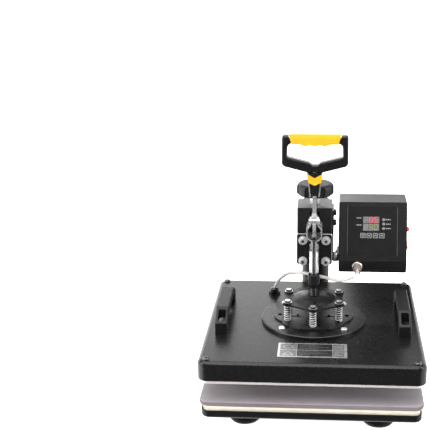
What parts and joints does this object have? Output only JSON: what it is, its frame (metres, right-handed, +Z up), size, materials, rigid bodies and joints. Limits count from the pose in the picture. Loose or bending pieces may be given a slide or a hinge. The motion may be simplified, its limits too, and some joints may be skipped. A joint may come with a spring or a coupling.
{
  "type": "heat press",
  "caption": "Swing-away heat press with square heated platen, toggle lever, spring-floated pressure plate, knob height adjustment, control box and padded lower bed on suction feet.",
  "frame": {"origin": "on the table, under the middle of the whole machine", "axes": "+Z up from the table, +Y to the back, +X to the operator's right"},
  "size_m": [0.396, 0.462, 0.4939],
  "materials": {
    "black_paint": "satin black powder coat",
    "arm_paint": "fine texture black powder coat",
    "zinc_steel": "bright zinc plated",
    "chrome": "nickel chrome plated",
    "blackened_steel": "black oxide",
    "aluminium": "machined",
    "bronze": "sintered bronze",
    "black_rubber": "moulded",
    "grey_silicone": "soft matt sponge",
    "cream_felt": "pressed fibre board",
    "black_plastic": "fine grain",
    "gloss_black_plastic": "smooth moulded",
    "yellow_plastic": "soft grip",
    "red_plastic": "translucent red",
    "display_plastic": "smoked",
    "led_plastic": "clear",
    "button_plastic": "dark grey key",
    "panel_film": "printed film",
    "circuit_board": "glass epoxy",
    "braided_sleeve": "white glass fibre braid"
  },
  "bodies": {
    "base": {"base_frame": "black_paint", "column_shaft": "zinc_steel", "feet": "black_rubber", "base_fasteners": "zinc_steel", "lower_tray": "black_paint", "felt_layer": "cream_felt", "silicone_pad": "grey_silicone"},
    "arm": {"swing_arm": "arm_paint", "sleeve_bushes": "bronze", "column_cap": "black_plastic", "head_housing": "arm_paint", "head_bolts": "blackened_steel", "strap_bracket": "black_paint", "control_box": "black_paint", "box_back": "black_paint", "control_panel": "panel_film", "display_window": "display_plastic", "indicator_leds": "led_plastic", "control_electronics": "circuit_board", "side_bezels": "gloss_black_plastic", "pilot_lamp": "red_plastic", "power_inlet": "gloss_black_plastic", "connector_socket": "chrome", "cable_plug": "chrome", "box_screws": "zinc_steel", "heater_cable_front": "braided_sleeve"},
    "knob": {"knob": "black_plastic", "pressure_spindle": "zinc_steel"},
    "carriage": {"slide_block": "zinc_steel", "clamp_plate": "black_paint", "clamp_bolts": "chrome", "clamp_half_left": "chrome", "clamp_half_right": "chrome", "clamp_pivot_pin": "chrome"},
    "lever": {"lever_bar": "chrome", "lever_cover": "black_plastic", "d_handle": "gloss_black_plastic", "handle_grip": "yellow_plastic"},
    "platen": {"platen_cover": "black_paint", "heating_plate": "aluminium", "heating_element": "zinc_steel", "insulation_layer": "cream_felt", "mounting_disc": "black_paint", "lobed_plate": "black_paint", "shoulder_bolts": "zinc_steel", "springs": "zinc_steel", "platen_screws": "zinc_steel", "side_handle_left": "black_plastic", "side_handle_right": "black_plastic", "cable_gland": "gloss_black_plastic", "heater_cable_rear": "braided_sleeve"},
    "plunger": {"plunger_rod": "chrome", "coupling": "blackened_steel", "spider_plate": "black_paint"},
    "link": {"toggle_link": "chrome"},
    "rocker": {"rocker": "red_plastic"},
    "button_1": {"push_button_1": "button_plastic"},
    "button_2": {"push_button_2": "button_plastic"},
    "button_3": {"push_button_3": "button_plastic"},
    "button_4": {"push_button_4": "button_plastic"}
  },
  "joints": [
    {"name": "arm_swing", "type": "hinge", "parent": "base", "child": "arm", "pos_m": [0, 0.195, 0.192], "axis": [0, 0, 1], "continuous": true},
    {"name": "pressure_screw", "type": "hinge", "parent": "arm", "child": "knob", "pos_m": [0, 0.042, 0.363], "axis": [0, 0, 1], "range_deg": [0, 1441]},
    {"name": "pressure_slide", "type": "slide", "parent": "arm", "child": "carriage", "axis": [0, 0, 1], "range_m": [0, 0.008]},
    {"name": "lever_turn", "type": "hinge", "parent": "carriage", "child": "lever", "pos_m": [0, -0.033, 0.332], "axis": [1, 0, 0], "range_deg": [0, 109.71]},
    {"name": "press_slide", "type": "slide", "parent": "carriage", "child": "platen", "axis": [0, 0, -1], "range_m": [0, 0.03522]},
    {"name": "spring_float", "type": "slide", "parent": "platen", "child": "plunger", "axis": [0, 0, -1], "range_m": [0, 0.005], "stiffness_N_per_m": 20000, "springref_m": -0.002, "deforming": ["springs"]},
    {"name": "link_turn", "type": "hinge", "parent": "plunger", "child": "link", "pos_m": [0, -0.033, 0.3052], "axis": [-1, 0, 0], "range_deg": [0, 31.23]},
    {"name": "rocker_turn", "type": "hinge", "parent": "arm", "child": "rocker", "pos_m": [0.1745, 0.067, 0.2543], "axis": [0, 1, 0], "range_deg": [0, 16]},
    {"name": "button_1_press", "type": "slide", "parent": "arm", "child": "button_1", "axis": [0, 0.9427, -0.3335], "range_m": [0, 0.0008], "stiffness_N_per_m": 600, "springref_m": -0.0004},
    {"name": "button_2_press", "type": "slide", "parent": "arm", "child": "button_2", "axis": [0, 0.9427, -0.3335], "range_m": [0, 0.0008], "stiffness_N_per_m": 600, "springref_m": -0.0004},
    {"name": "button_3_press", "type": "slide", "parent": "arm", "child": "button_3", "axis": [0, 0.9427, -0.3335], "range_m": [0, 0.0008], "stiffness_N_per_m": 600, "springref_m": -0.0004},
    {"name": "button_4_press", "type": "slide", "parent": "arm", "child": "button_4", "axis": [0, 0.9427, -0.3335], "range_m": [0, 0.0008], "stiffness_N_per_m": 600, "springref_m": -0.0004}
  ],
  "couplings": [
    {"joint": "pressure_screw", "follows": "pressure_slide", "rad_per_m": 3141.6},
    {"joint": "press_slide", "follows": "lever_turn", "m_per_rad": 0.018383},
    {"joint": "link_turn", "follows": "lever_turn", "ratio": 0.28422}
  ]
}
